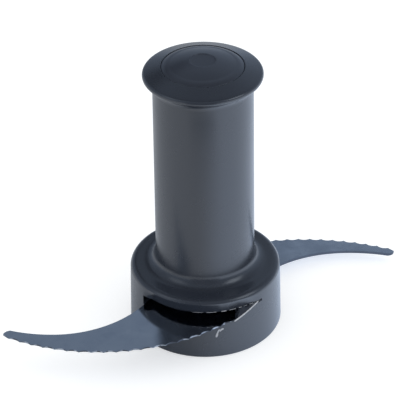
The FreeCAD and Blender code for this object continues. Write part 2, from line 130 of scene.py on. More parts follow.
def mouldedPlastic(name, colour, shade, roughness, gloss, grain):
    # moulded plastic from a polished tool: deep in tone and glossy, so that its walls mirror the pale table;
    # the melt's flow leaves faint clouds of a few centimetres, and the tool's grain of about 0.3 mm
    # softens the mirror
    material = newMaterial(name)
    place = addNode(material, "ShaderNodeTexCoord").outputs["Object"]
    clouds = addNode(material, "ShaderNodeTexNoise", {"Vector": place, "Scale": 55.0, "Detail": 3.0,
                                                      "Roughness": 0.55})
    tint = addNode(material, "ShaderNodeMix", {"Factor": clouds.outputs["Fac"], "A": toLinear(colour),
                                               "B": toLinear(shade)}, data_type="RGBA")
    grained = addNode(material, "ShaderNodeTexNoise", {"Vector": place, "Scale": 2200.0, "Detail": 2.0})
    lift = addNode(material, "ShaderNodeBump", {"Height": grained.outputs["Fac"], "Strength": 0.2,
                                                "Distance": grain * 0.001})
    spread = addNode(material, "ShaderNodeMapRange", {"Value": clouds.outputs["Fac"], "From Min": 0.3,
                                                      "From Max": 0.7, "To Min": roughness - 0.02,
                                                      "To Max": roughness + 0.03})
    surface = addNode(material, "ShaderNodeBsdfPrincipled", {"Base Color": tint.outputs[2],
                                                             "Roughness": spread.outputs[0],
                                                             "Specular IOR Level": gloss,
                                                             "Normal": lift.outputs[0], "IOR": 1.53})
    addNode(material, "ShaderNodeOutputMaterial", {"Surface": surface.outputs[0]})
    return material


def polishedSteel(name, colour, sheared, roughness, arcCentre):
    # rolled stainless sheet, polished: rolling lines about 0.3 mm apart run along the blade, and handling
    # leaves smears of a centimetre that dull the mirror a little; the punch leaves the upright sides of the
    # sheet matt and dark; the ground edge, which lies 84 mm and more from arcCentre, is darker in runs of
    # 2 to 3 mm: painted shade that breaks its glints into dashes
    material = newMaterial(name)
    place = addNode(material, "ShaderNodeTexCoord")
    along = addNode(material, "ShaderNodeMapping", {"Vector": place.outputs["Object"],
                                                    "Scale": (60.0, 3300.0, 60.0)})
    lines = addNode(material, "ShaderNodeTexNoise", {"Vector": along.outputs[0], "Scale": 1.0, "Detail": 3.0})
    smears = addNode(material, "ShaderNodeTexNoise", {"Vector": place.outputs["Object"], "Scale": 120.0,
                                                      "Detail": 4.0, "Roughness": 0.6})
    spread = addNode(material, "ShaderNodeMapRange", {"Value": smears.outputs["Fac"], "From Min": 0.35,
                                                      "From Max": 0.7, "To Min": roughness,
                                                      "To Max": roughness + 0.08})
    tint = addNode(material, "ShaderNodeMix", {"Factor": smears.outputs["Fac"], "A": toLinear(colour),
                                               "B": toLinear("#a9b1bd")}, data_type="RGBA")
    flat = addNode(material, "ShaderNodeMapping", {"Vector": place.outputs["Object"],
                                                   "Location": (-0.001 * arcCentre[0],
                                                                -0.001 * arcCentre[1], 0),
                                                   "Scale": (1.0, 1.0, 0.0)})
    reach = addNode(material, "ShaderNodeVectorMath", {0: flat.outputs[0]}, operation="LENGTH")
    unground = addNode(material, "ShaderNodeMath", {0: reach.outputs["Value"], 1: 0.0838},
                       operation="LESS_THAN")
    facing = addNode(material, "ShaderNodeSeparateXYZ", {0: place.outputs["Normal"]})
    steep = addNode(material, "ShaderNodeMath", {0: facing.outputs["Z"]}, operation="ABSOLUTE")
    upright = addNode(material, "ShaderNodeMath", {0: steep.outputs[0], 1: 0.5}, operation="LESS_THAN")
    side = addNode(material, "ShaderNodeMath", {0: upright.outputs[0], 1: unground.outputs[0]},
                   operation="MULTIPLY")
    shade = addNode(material, "ShaderNodeMix", {"Factor": side.outputs[0], "A": tint.outputs[2],
                                                "B": toLinear(sheared)}, data_type="RGBA")
    ground = addNode(material, "ShaderNodeMath", {0: upright.outputs[0], 1: side.outputs[0]},
                     operation="SUBTRACT")
    # painted shade: runs of 2 to 3 mm of the ground edge take the sheared colour, breaking its glints
    edgeRunNoise = addNode(material, "ShaderNodeTexNoise", {"Vector": place.outputs["Object"], "Scale": 330.0,
                                                    "Detail": 1.0})
    darkRuns = addNode(material, "ShaderNodeMapRange", {"Value": edgeRunNoise.outputs["Fac"], "From Min": 0.44,
                                                    "From Max": 0.52})
    darkRuns = addNode(material, "ShaderNodeMath", {0: ground.outputs[0], 1: darkRuns.outputs[0]},
                   operation="MULTIPLY")
    shade = addNode(material, "ShaderNodeMix", {"Factor": darkRuns.outputs[0], "A": shade.outputs[2],
                                                "B": toLinear(sheared)}, data_type="RGBA")
    matt = addNode(material, "ShaderNodeMath", {0: upright.outputs[0], 1: 0.35, 2: spread.outputs[0]},
                   operation="MULTIPLY_ADD")
    lift = addNode(material, "ShaderNodeBump", {"Height": lines.outputs["Fac"], "Strength": 0.06,
                                                "Distance": 0.00002})
    surface = addNode(material, "ShaderNodeBsdfPrincipled", {"Base Color": shade.outputs[2], "Metallic": 1.0,
                                                             "Roughness": matt.outputs[0],
                                                             "Normal": lift.outputs[0]})
    addNode(material, "ShaderNodeOutputMaterial", {"Surface": surface.outputs[0]})
    return material


def whitenedPlastic(name, colour, shade):
    # plastic that was scraped or bent until it turned pale: matt and chalky, and uneven over about 1 mm
    material = newMaterial(name)
    place = addNode(material, "ShaderNodeTexCoord").outputs["Object"]
    chalk = addNode(material, "ShaderNodeTexNoise", {"Vector": place, "Scale": 1100.0, "Detail": 3.0})
    tint = addNode(material, "ShaderNodeMix", {"Factor": chalk.outputs["Fac"], "A": toLinear(colour),
                                               "B": toLinear(shade)}, data_type="RGBA")
    lift = addNode(material, "ShaderNodeBump", {"Height": chalk.outputs["Fac"], "Strength": 0.5,
                                                "Distance": 0.0001})
    surface = addNode(material, "ShaderNodeBsdfPrincipled", {"Base Color": tint.outputs[2], "Roughness": 0.5,
                                                             "Normal": lift.outputs[0], "IOR": 1.53})
    addNode(material, "ShaderNodeOutputMaterial", {"Surface": surface.outputs[0]})
    return material


hubPlastic = mouldedPlastic("mouldedHubAbs", "#262b35", "#2a2f39", 0.26, 0.9, 0.01)
capPlastic = mouldedPlastic("mouldedCapAbs", "#282d38", "#2c313c", 0.3, 0.8, 0.01)
sleevePlastic = mouldedPlastic("naturalAcetalSleeve", "#cfcdc4", "#d6d4cb", 0.42, 0.5, 0.02)
bushPlastic = mouldedPlastic("blackNylonBush", "#1d1d1f", "#242427", 0.5, 0.5, 0.03)
upperSteel = polishedSteel("polishedStainlessUpper", "#c3c7cc", "#5d626b", 0.1, (-41.5, 38.1))
lowerSteel = polishedSteel("polishedStainlessLower", "#c3c7cc", "#5d626b", 0.1, (41.5, -38.1))
paleEdge = whitenedPlastic("whitenedAbsEdge", "#d3d6db", "#a9adb6")
print("materials ready")


# hub

hubSizes = {
    "footRadius": 31.5, "footRound": 0.6, "collarRadius": 31.0, "collarTop": 27.6, "collarRound": 2.6,
    "collarFillet": 5.0, "columnFoot": 20.35, "columnTop": 20.0, "neckFillet": 4.4,
    "rimRadius": 23.9, "rimHeight": 116.0, "rimRound": 1.4, "flangeTop": 119.5, "flangeSlope": 18.7,
    "recessRadius": 16.5, "recessFloor": 116.9, "capBore": 14.6, "ledgeUnder": 112.4,
    "columnBore": 17.4, "coreTop": 25.0, "drumBore": 14.2, "sleeveSeat": 2.6, "sleeveSeatRadius": 20.2,
    "pocketInner": 22.4, "pocketOuter": 28.0, "pocketDepth": 3.0, "pocketCount": 12, "pocketHalfAngle": 12.5,
    "bladePitch": 4.86, "slotLeft": 25.6, "slotRight": 22.85, "rampFoot": 12.1, "slotOpening": 5.8,
    "slotDraft": 3.0, "slotBack": 18.4, "upperBlade": 19.25, "lowerBlade": 8.1, "slotEndGap": 0.8,
    # radius of the wall where each end of a slot meets it
    "slotLeftWall": 31.15, "slotRightWall": 31.1,
    # rounded lip; its lean inwards, its fall per millimetre of lean, and the angles over which the lean fades
    "lipRound": 0.22, "lipLean": 2.4, "lipFall": 0.667, "leanLeft": 9.0, "leanRight": 22.0,
    # angle that a round leaves to the next surface, and what the collar's round gives up over the lean
    "roundGap": 6.0, "roundCut": 20.0,
    # bevel over the heel: rise per millimetre inwards, and the length over which it starts
    "bevelRise": 1.3, "bevelRun": 1.5,
    # angles between columns, beside a pocket's side and beside a slot's end
    "columnStep": 0.8, "pocketSeam": 0.02, "slotSeam": 0.03,
}


def slotFloor(x, y, height):
    # the blade's plane through the axis at its height, or the ramp over the heel where that is higher
    s = hubSizes
    plane = height + y * math.tan(math.radians(s["bladePitch"]))
    low = height - math.tan(math.radians(s["bladePitch"])) * s["collarRadius"]
    ramp = low + (x - s["rampFoot"]) * s["slotOpening"] / (s["slotRight"] - s["rampFoot"])
    return np.maximum(plane, ramp)


def slotRoof(y, height):
    # a plane that falls by the draft from the mouth's upper edge towards the axis
    s = hubSizes
    low = height - math.tan(math.radians(s["bladePitch"])) * s["collarRadius"]
    return low + s["slotOpening"] - (y + s["collarRadius"]) * math.tan(math.radians(s["slotDraft"]))


def wallRadius(z):
    # the drum's wall narrows evenly from the foot to the collar's round
    s = hubSizes
    share = (z - s["footRound"]) / (s["collarTop"] - s["collarRound"] - s["footRound"])
    return s["footRadius"] + (s["collarRadius"] - s["footRadius"]) * share


def alongPath(path, share):
    # the point at a share of a polyline's length, for a whole array of shares
    steps = np.hypot(*np.diff(path, axis=0).T)
    walked = np.concatenate([[0], np.cumsum(steps)]) / steps.sum()
    return np.stack([np.interp(share, walked, path[:, k]) for k in (0, 1)], axis=-1)


def slotBands(turn, height):
    # the slot's floor line and roof line on the wall, for angles measured from -Y in the slot's own frame,
    # and the points where its floor and roof end at the back
    s = hubSizes
    left = -math.degrees(math.asin(s["slotLeft"] / s["slotLeftWall"]))
    right = math.degrees(math.asin(s["slotRight"] / s["slotRightWall"]))
    angle = np.radians(turn)
    x, y = s["slotLeftWall"] * np.sin(angle), -s["slotLeftWall"] * np.cos(angle)
    roof = slotRoof(y, height)
    floor = np.minimum(slotFloor(x, y, height), roof - s["slotEndGap"])
    back = np.concatenate([[[-s["slotLeft"], -0.5], [-s["slotBack"] - 0.3, -0.5]],
                           arcPoints((0, 0), s["slotBack"], 182, 318, 40), [[s["slotRight"], -8.0]]])
    behind = alongPath(back, np.clip((turn - left) / (right - left), 0, 1))
    return left, right, floor, roof, behind


def leanShare(turn):
    # share of the lip's full lean: a smooth step up from the slot's left end and down to its right end
    s = hubSizes
    left, right = slotBands(np.zeros(1), s["upperBlade"])[:2]
    share = np.clip(np.minimum((turn - left) / s["leanLeft"], (right - turn) / s["leanRight"]), 0, 1)
    return share * share * (3 - 2 * share)


def hubGrid():
    # rows follow the turned profile round its loop, and columns go round the axis; rows of the drum's wall
    # follow each slot's lower edge, go in along its floor, up its back wall and out along its roof
    s = hubSizes
    turns = np.arange(0, 360, s["columnStep"])
    pocketStep = 360 / s["pocketCount"]
    side, seam = s["pocketHalfAngle"], s["pocketSeam"]
    pocketEdges = np.array([-side - seam, -side + seam, side - seam, side + seam])
    pocketEdges = (np.arange(s["pocketCount"])[:, None] * pocketStep + pocketEdges).ravel()
    left, right = slotBands(np.zeros(1), s["upperBlade"])[:2]
    slotEdges = np.array([left - s["slotSeam"], left + s["slotSeam"], right]) % 360
    turns = np.unique(np.round(np.concatenate([turns, pocketEdges % 360, slotEdges,
                                               (slotEdges + 180) % 360]), 4))
    # turn 0 is the front (-Y), and turns grow towards +X; away is measured from the middle of each slot
    away = (turns + 180) % 360 - 180
    upperBand = slotBands(np.clip(away, left, right), s["upperBlade"])
    awayBack = turns % 360 - 180
    lowerBand = slotBands(np.clip(awayBack, left, right), s["lowerBlade"])
    inUpper = (away > left) & (away <= right)
    inLower = (awayBack > left) & (awayBack <= right)
    # between the slots the two lines run on evenly, so that rows stay apart there
    starts = np.round(np.array([slotEdges[0], (slotEdges[0] + 180) % 360]), 4)
    known = inUpper | inLower | np.isin(turns, starts)
    atBack = inLower | (np.abs(awayBack) < 90)
    floorLine = np.where(atBack, lowerBand[2], upperBand[2])
    roofLine = np.where(atBack, lowerBand[3], upperBand[3])
    floorLine = np.interp(turns, turns[known], floorLine[known], period=360)
    roofLine = np.interp(turns, turns[known], roofLine[known], period=360)
    angle = np.radians(turns)
    outX, outY = np.sin(angle), -np.cos(angle)
    columns = len(turns)

    def ringRows(profile):
        # each profile point (r, z) turned to every column
        radius, height = profile[:, 0, None], profile[:, 1, None]
        return np.stack([radius * outX, radius * outY, height + 0 * outX], axis=2)

    def wallRows(lower, upper, count):
        # evenly spaced rows on the wall between two lines, given per column
        share = np.linspace(0, 1, count)[:, None]
        height = lower * (1 - share) + upper * share
        radius = wallRadius(height)
        return np.stack([radius * outX, radius * outY, height], axis=2)

    lowEnd, highEnd = s["footRound"], s["collarTop"] - s["collarRound"]
    lip = s["lipRound"] * np.clip((roofLine - floorLine) / 1.0, 0, 1)
    below = wallRows(np.full(columns, lowEnd), floorLine - lip, 9)
    # over the upper slot the wall leans inwards from the collar's round to the lip, by an amount that fades
    # out at both ends of the slot, and the round stops earlier there
    fade = leanShare(away) * inUpper
    lean = s["lipLean"] * fade
    drop = s["lipFall"] * lean
    roofLine = roofLine - drop
    roundStart = np.radians(s["roundGap"] + s["roundCut"] * fade)
    roundTurn = roundStart + (math.pi / 2 - roundStart) * np.linspace(0, 1, 10)[:, None]
    roundRadius = s["collarRadius"] - s["collarRound"] * (1 - np.cos(roundTurn))
    collarRows = np.stack([roundRadius * outX, roundRadius * outY,
                           highEnd + s["collarRound"] * np.sin(roundTurn)], axis=2)
    share = np.linspace(0, 1, 8)[:, None]
    bandHeight = (roofLine + lip) * (1 - share) + (collarRows[0, :, 2] - 0.02) * share
    bandRadius = (wallRadius(roofLine) - lean) * (1 - share) + roundRadius[0] * share
    above = np.stack([bandRadius * outX, bandRadius * outY, bandHeight], axis=2)
    # rows inside the slot: floor, back and roof; elsewhere they lie on the wall
    sign = np.where(inLower, -1.0, 1.0)
    bandHeight = np.where(inLower, s["lowerBlade"], s["upperBlade"])
    behind = np.where(inLower[:, None], -lowerBand[4], upperBand[4])
    inside = (inUpper | inLower)[None, :, None]
    mouth = np.stack([wallRadius(floorLine) * outX, wallRadius(floorLine) * outY], axis=1)
    # shares of the way in from the mouth, closest together at the lip
    share = np.array([0.018, 0.08, 0.16, 0.26, 0.4, 0.65, 1.0])[:, None, None]
    plan = mouth[None] * (1 - share) + behind[None] * share
    roofHeight = slotRoof(plan[..., 1] * sign, bandHeight) - drop * (1 - share[..., 0])
    # over the heel the floor is a bevel that climbs inwards until it nearly meets the roof
    bevel = np.clip((plan[..., 0] * sign - s["rampFoot"]) / s["bevelRun"], 0, 1)
    bevel = bevel * s["bevelRise"] * (s["collarRadius"] - np.hypot(plan[..., 0], plan[..., 1])).clip(0)
    floorHeight = np.minimum(slotFloor(plan[..., 0] * sign, plan[..., 1] * sign, bandHeight) + bevel,
                             roofHeight - 0.1)
    floorHeight[0] = np.minimum(floorHeight[0], roofHeight[0] - s["slotEndGap"])
    floorRows = np.concatenate([plan, floorHeight[..., None]], axis=2)
    lipPlan = mouth - lean[:, None] * np.stack([outX, outY], axis=1)
    roofPlan = lipPlan[None] * (1 - share) + behind[None] * share
    roofRows = np.concatenate([roofPlan, roofHeight[..., None]], axis=2)[::-1]
    rise = np.linspace(0, 1, 5)[1:-1, None, None]  # the back wall between floor and roof
    backRows = floorRows[-1:] * (1 - rise) + roofRows[:1] * rise
    slotRows = np.concatenate([floorRows, backRows, roofRows])
    plainRows = wallRows(floorLine, roofLine, len(slotRows))
    slotRows = np.where(inside, slotRows, plainRows)

    nearest = (turns + pocketStep / 2) % pocketStep - pocketStep / 2
    pocket = np.abs(nearest) < s["pocketHalfAngle"]
    chord = math.cos(math.radians(s["pocketHalfAngle"])) / np.cos(np.radians(nearest))

    def underRows(radii, raised):
        # rows of the underside; those inside a pocket rise to its floor
        radii = np.array(radii)[:, None] * np.where(pocket, chord, 1.0)
        height = np.where(pocket, np.array(raised)[:, None] * s["pocketDepth"], 0.0)
        return np.stack([radii * outX, radii * outY, height + 0 * radii], axis=2)

    # rows 0.02 mm apart, here and in the profile below, keep an edge crisp
    under = np.concatenate([
        ringRows(linePoints((s["sleeveSeatRadius"] + 0.2, 0), (s["pocketInner"] - 0.9, 0), 2)),
        underRows([s["pocketInner"], s["pocketInner"] + 0.02, 24.3, 26.1, s["pocketOuter"] - 0.02,
                   s["pocketOuter"]], [0, 1, 1, 1, 1, 0]),
        ringRows(linePoints((s["pocketOuter"] + 0.7, 0), (s["footRadius"] - s["footRound"] - 0.02, 0), 3)),
        ringRows(arcPoints((s["footRadius"] - s["footRound"], s["footRound"]), s["footRound"],
                           -90, -s["roundGap"], 6)),
    ])

    both = s["neckFillet"] + s["rimRound"]
    rimCentre = (s["rimRadius"] - s["rimRound"], s["rimHeight"])
    neckRun = s["columnTop"] + s["neckFillet"] - rimCentre[0]
    neckHeight = s["rimHeight"] - math.sqrt(both ** 2 - neckRun ** 2)
    neckAngle = math.degrees(math.acos(-neckRun / both))
    slopeEnd = 90 - s["flangeSlope"]
    upperProfile = np.concatenate([
        linePoints((s["collarRadius"] - s["collarRound"], s["collarTop"]),
                   (s["columnFoot"] + s["collarFillet"], s["collarTop"]), 4)[1:-1],
        arcPoints((s["columnFoot"] + s["collarFillet"], s["collarTop"] + s["collarFillet"]),
                  s["collarFillet"], 270, 180, 13),
        linePoints((s["columnFoot"], s["collarTop"] + s["collarFillet"]),
                   (s["columnTop"], neckHeight), 16)[1:-1],
        arcPoints((s["columnTop"] + s["neckFillet"], neckHeight), s["neckFillet"], 180, neckAngle, 10),
        arcPoints(rimCentre, s["rimRound"], neckAngle - 180, slopeEnd, 16)[1:],
        linePoints(arcPoints(rimCentre, s["rimRound"], slopeEnd, slopeEnd, 1)[0],
                   (s["recessRadius"] + 0.25, s["flangeTop"] - 0.07), 6)[1:],
        arcPoints((s["recessRadius"] + 0.2, s["flangeTop"] - 0.28), 0.2, 70, 180, 5),
        linePoints((s["recessRadius"], s["flangeTop"] - 0.5), (s["recessRadius"], s["recessFloor"]), 3),
        linePoints((s["recessRadius"] - 0.02, s["recessFloor"]), (s["capBore"], s["recessFloor"]), 3),
        linePoints((s["capBore"], s["recessFloor"] - 0.02), (s["capBore"], s["ledgeUnder"]), 3),
        linePoints((s["capBore"] + 0.02, s["ledgeUnder"]), (s["columnBore"], s["ledgeUnder"]), 3),
        linePoints((s["columnBore"], s["ledgeUnder"] - 0.02), (s["columnBore"], s["coreTop"]), 8),
        linePoints((s["columnBore"] - 0.02, s["coreTop"]), (s["drumBore"], s["coreTop"]), 3),
        linePoints((s["drumBore"], s["coreTop"] - 0.02), (s["drumBore"], s["sleeveSeat"]), 6),
        linePoints((s["drumBore"] + 0.02, s["sleeveSeat"]), (s["sleeveSeatRadius"], s["sleeveSeat"]), 3),
        linePoints((s["sleeveSeatRadius"], s["sleeveSeat"] - 0.02), (s["sleeveSeatRadius"], 0.2), 3),
        [[s["sleeveSeatRadius"] + 0.06, 0.06]],
    ])
    return np.concatenate([under, below, slotRows, above, collarRows, ringRows(upperProfile)])


hub = gridPiece("hubMoulding", hubGrid(), True)
setMaterial(hub, hubPlastic)
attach(hub, "root")
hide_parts("hub_body")
print("hub:", len(hub.data.polygons), "faces")


# cap

capSizes = {
    "radius": 16.36, "seat": 116.9, "edgeTop": 119.36, "edgeRound": 0.2, "edgeSweep": 7.0,
    "shoulderRadius": 13.2, "shoulderTop": 120.35, "crown": 122.3, "under": 118.9,
    "plugRadius": 14.4, "plugWall": 1.5, "plugFoot": 110.6, "beadRadius": 15.0, "beadHeight": 111.8,
    "plugNeck": 112.3, "markRadius": 5.2, "markDepth": 0.22,
}


def capGrid():
    # the profile turned about the axis: a shallow dome, a steeper swept edge, the rim, the seat and the
    # plug ring with its bead, and the flat underside
    s = capSizes
    rise = s["crown"] - s["shoulderTop"]
    dome = (s["shoulderRadius"] ** 2 + rise ** 2) / (2 * rise)

    def domeHeight(radius):
        return s["crown"] - dome + np.sqrt(dome ** 2 - radius ** 2)

    start = np.array([s["radius"] - s["edgeRound"], s["edgeTop"]])
    end = np.array([s["shoulderRadius"], s["shoulderTop"]])
    middle = (start + end) / 2
    chord = end - start
    length = np.hypot(*chord)
    inward = np.array([-chord[1], chord[0]]) / length
    centre = middle + inward * math.sqrt(s["edgeSweep"] ** 2 - (length / 2) ** 2)
    first, last = (math.degrees(math.atan2(*(p - centre)[::-1])) for p in (start, end))
    outer = np.linspace(s["shoulderRadius"] - 0.4, s["markRadius"] + 0.15, 12)
    inner = np.linspace(s["markRadius"] - 0.15, 0, 8)
    profile = np.concatenate([
        linePoints((0, s["under"]), (s["plugRadius"] - s["plugWall"], s["under"]), 4),
        linePoints((s["plugRadius"] - s["plugWall"], s["under"] - 0.02),
                   (s["plugRadius"] - s["plugWall"], s["plugFoot"]), 4),
        [[s["plugRadius"] - 0.3, s["plugFoot"]], [s["beadRadius"], s["beadHeight"]],
         [s["plugRadius"], s["plugNeck"]], [s["plugRadius"], s["seat"] - 0.02]],
        linePoints((s["plugRadius"] + 0.02, s["seat"]), (s["radius"] - 0.02, s["seat"]), 3),
        linePoints((s["radius"], s["seat"] + 0.02), (s["radius"], s["edgeTop"] - s["edgeRound"]), 3),
        arcPoints((s["radius"] - s["edgeRound"], s["edgeTop"] - s["edgeRound"]), s["edgeRound"], 10, 70, 5),
        arcPoints(centre, s["edgeSweep"], first, last, 8),
        np.stack([outer, domeHeight(outer)], axis=1),
        [[s["markRadius"] + 0.05, domeHeight(s["markRadius"]) - 0.02],
         [s["markRadius"] - 0.05, domeHeight(s["markRadius"]) - s["markDepth"] + 0.02]],
        np.stack([inner, np.full(8, domeHeight(s["markRadius"]) - s["markDepth"])], axis=1),
    ])
    turns = np.radians(np.arange(0, 360, 1.5))
    radius, height = profile[:, 0, None], profile[:, 1, None]
    return np.stack([radius * np.sin(turns), -radius * np.cos(turns), height + 0 * turns], axis=2)


cap = gridPiece("domedCap", capGrid(), False)
setMaterial(cap, capPlastic)
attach(cap, "root")
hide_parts("top_cap")
print("cap:", len(cap.data.polygons), "faces")


# pale marks round the slot: wear on the ramp's edge and the drum, and short pale runs on the lip

paleMarkSizes = {
    "rampStart": 11.3, "rampEnd": 21.5, "rampHeight": 16.2, "rampRise": 0.54, "rampRadius": 0.36,
    "rampDepth": 0.1, "lipRadius": 0.11,
    "lipRuns": [(-6.0, -1.0, 0.5), (0.0, 4.6, 0.7), (6.2, 8.4, 1.4), (9.3, 12.4, 0.9), (13.4, 14.6, 1.2),
                (15.3, 16.9, 0.8), (17.7, 19.2, 1.0)],
    "scuffs": [[(4.0, 9.7), (4.4, 11.3), (4.9, 13.0), (5.6, 14.0)], [(5.4, 12.6), (6.2, 13.6), (7.3, 13.9)]],
    "scuffRadius": 0.4, "scuffDepth": 0.05, "flatness": 0.6,
}


def beadGrid(path, radii, sides=10):
    # a bead along a path of points: at each point a ring of its own radius, square to the path and flattened
    # towards the wall
    along = np.gradient(path, axis=0)
    along /= np.linalg.norm(along, axis=1)[:, None]
    outward = path * np.array([1, 1, 0]) / np.linalg.norm(path[:, :2], axis=1)[:, None]
    across = np.cross(along, outward)
    across /= np.linalg.norm(across, axis=1)[:, None]
    outward = np.cross(across, along)
    turns = np.radians(np.arange(sides) * 360 / sides)
    flat = outward[:, None] * np.cos(turns)[None, :, None] * paleMarkSizes["flatness"]
    ring = flat + across[:, None] * np.sin(turns)[None, :, None]
    return path[:, None] + ring * radii[:, None, None]


def roundTheWall(x, height, depth):
    # points of the drum's wall at a distance x to the right of its front-most line, a little inside it
    radius = wallRadius(height) - depth
    return np.stack([x, -np.sqrt(radius ** 2 - x ** 2), height], axis=1)


def ragged(count, seed, low, high):
    # an uneven run of values between low and high, smoothed over three neighbours
    values = np.random.default_rng(seed).uniform(low, high, count + 2)
    return (values[:-2] + values[1:-1] + values[2:]) / 3


def paleBead(name, path, radii):
    # one bead with closed ends, in the pale plastic, on the hub
    order = np.arange(len(radii))
    radii = radii * np.minimum(1, np.minimum(order, order[::-1]) / 2)
    piece = setMaterial(gridPiece(name, beadGrid(path, radii), False, 60), paleEdge)
    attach(piece, "root")
    return piece


w = paleMarkSizes
rampX = np.linspace(w["rampStart"], w["rampEnd"], 48)
rampZ = w["rampHeight"] + w["rampRise"] * (rampX - w["rampStart"])
paleBead("wornRampEdge", roundTheWall(rampX, rampZ, w["rampDepth"]),
         w["rampRadius"] * ragged(48, 4, 0.75, 1.2))
# short pale runs along the lip: each from one x to another, with a share of the full radius
wallAt = hubSizes["collarRadius"]
for number, (first, last, share) in enumerate(w["lipRuns"]):
    flashX = np.linspace(first, last, 16)
    flashLean = hubSizes["lipLean"] * leanShare(np.degrees(np.arcsin(flashX / wallAt)))
    flashZ = slotRoof(-np.sqrt(wallAt ** 2 - flashX ** 2), hubSizes["upperBlade"])
    flashZ = flashZ - hubSizes["lipFall"] * flashLean
    flash = roundTheWall(flashX, flashZ, flashLean)
    paleBead("paleLipRun" + str(number + 1), flash, w["lipRadius"] * share * ragged(16, number, 0.7, 1.3))
# scuffs on the drum: each a polyline of x and height
for number, corners in enumerate(w["scuffs"]):
    line = alongPath(np.array(corners), np.linspace(0, 1, 14))
    paleBead("scuff" + str(number + 1), roundTheWall(line[:, 0], line[:, 1], w["scuffDepth"]),
             w["scuffRadius"] * ragged(14, number + 9, 0.6, 1.3))
print("wear ready")


# nodes that keep their CAD shape

for name, material in (("upper_blade", upperSteel), ("lower_blade", lowerSteel),
                       ("inner_sleeve", sleevePlastic), ("drive_bush", bushPlastic)):
    setMaterial(nodes[name], material)
print("blades, sleeve and bush dressed")


# stage, lights and camera

studio = {
    "floorSize": 12000.0, "floorLevel": -0.02, "ceilingHeight": 2500.0, "ceilingSize": 11000.0,
    "wallRadius": 5000.0, "wallStep": 5.0,
    "floorColour": "#d3d6d9", "glowColour": "#c6ddff", "ceilingColour": "#8a98ab", "wallColour": "#9aaac0",
    "flagColour": "#6b7584", "lampColour": (0.82, 0.9, 1.0),
    # glow of the table: for the camera, and for gloss at the left and right ends of a range of headings,
    # where it is painted light
    "cameraGlow": 0.52, "leftGlow": 0.165, "rightGlow": 0.86, "leftHeading": -0.35, "rightHeading": 0.8,
    # how the painted glow that gloss sees falls off: share near the object, share far away, and the two
    # distances
    "nearGlow": 1.12, "farGlow": 0.3, "nearReach": 30.0, "farReach": 900.0,
    # painted falls of light on ceiling and wall: turn, first share, and the reaches where each starts and
    # ends
    "ceilingFalls": [(180, 0.12, 0.0, 2500.0), (55, 0.0, -2440.0, -1960.0)],
    "wallFalls": [(130, 0.1, -1500.0, 4000.0)],
    # the wall's painted lighter foot: its share, and the heights over which it ends
    "wallFoot": 1.8, "footFrom": 350.0, "footTo": 650.0,
    # the part of the room that the front view mirrors is an oval behind the object, narrower in x; beyond
    # it the sheets glow at a plain share, painted plain light: share, reaches of the change, and how far
    # back the oval's middle lies
    "plainShare": 0.75, "plainFrom": 4200.0, "plainTo": 4800.0, "ovalBack": 3600.0, "ovalNarrow": 2.0,
    "flagLeft": -115.0, "flagRight": 100.0, "flagFront": -200.0, "flagTop": 220.0,
    "daylight": 0.85,
}


def stageSheet(name, corners):
    # one flat sheet with four corners; its normal follows their order
    mesh = bpy.data.meshes.new(name)
    mesh.from_pydata([tuple(0.001 * value for value in corner) for corner in corners], [], [(0, 1, 2, 3)])
    sheet = bpy.data.objects.new(name, mesh)
    bpy.context.scene.collection.objects.link(sheet)
    return sheet


def tableCard(name, colour):
    # matt white card with painted light: camera and glass see it glow near white, and gloss sees a glow
    # that grows from grey on the left of the object to white on its right, as if lit strongly from the
    # right, and falls off within a metre
    material = newMaterial(name)
    path = addNode(material, "ShaderNodeLightPath")
    place = addNode(material, "ShaderNodeTexCoord").outputs["Object"]
    heading = addNode(material, "ShaderNodeVectorMath", {0: place}, operation="NORMALIZE")
    side = addNode(material, "ShaderNodeSeparateXYZ", {0: heading.outputs[0]})
    paintedLight = addNode(material, "ShaderNodeMapRange", {"Value": side.outputs["X"],
                                                   "From Min": studio["leftHeading"],
                                                   "From Max": studio["rightHeading"],
                                                   "To Min": studio["leftGlow"],
                                                   "To Max": studio["rightGlow"]},
                  interpolation_type="SMOOTHSTEP")
    reach = addNode(material, "ShaderNodeVectorMath", {0: place}, operation="LENGTH")
    fall = addNode(material, "ShaderNodeMapRange", {"Value": reach.outputs["Value"],
                                                    "From Min": studio["nearReach"] * 0.001,
                                                    "From Max": studio["farReach"] * 0.001,
                                                    "To Min": studio["nearGlow"],
                                                    "To Max": studio["farGlow"]})
    paintedLight = addNode(material, "ShaderNodeMath", {0: paintedLight.outputs[0], 1: fall.outputs[0]}, operation="MULTIPLY")
    # painted light: the glow that gloss sees, graded from left to right and falling off with reach
    mirrored = addNode(material, "ShaderNodeMath", {0: path.outputs["Is Glossy Ray"], 1: paintedLight.outputs[0]},
                       operation="MULTIPLY")
    plain = addNode(material, "ShaderNodeMath", {0: path.outputs["Is Camera Ray"],
                                                 1: path.outputs["Is Transmission Ray"]}, operation="MAXIMUM")
    seen = addNode(material, "ShaderNodeMath", {0: plain.outputs[0], 1: studio["cameraGlow"]},
                   operation="MULTIPLY")
    card = addNode(material, "ShaderNodeBsdfDiffuse", {"Color": toLinear(colour)})
    glow = addNode(material, "ShaderNodeEmission", {"Color": (1, 1, 1, 1), "Strength": seen.outputs[0]})
    paintedSheen = addNode(material, "ShaderNodeEmission", {"Color": toLinear(studio["glowColour"]),
                                                     "Strength": mirrored.outputs[0]})
    lights = addNode(material, "ShaderNodeAddShader", {0: glow.outputs[0], 1: paintedSheen.outputs[0]})
    both = addNode(material, "ShaderNodeAddShader", {0: card.outputs[0], 1: lights.outputs[0]})
    addNode(material, "ShaderNodeOutputMaterial", {"Surface": both.outputs[0]})
    return material


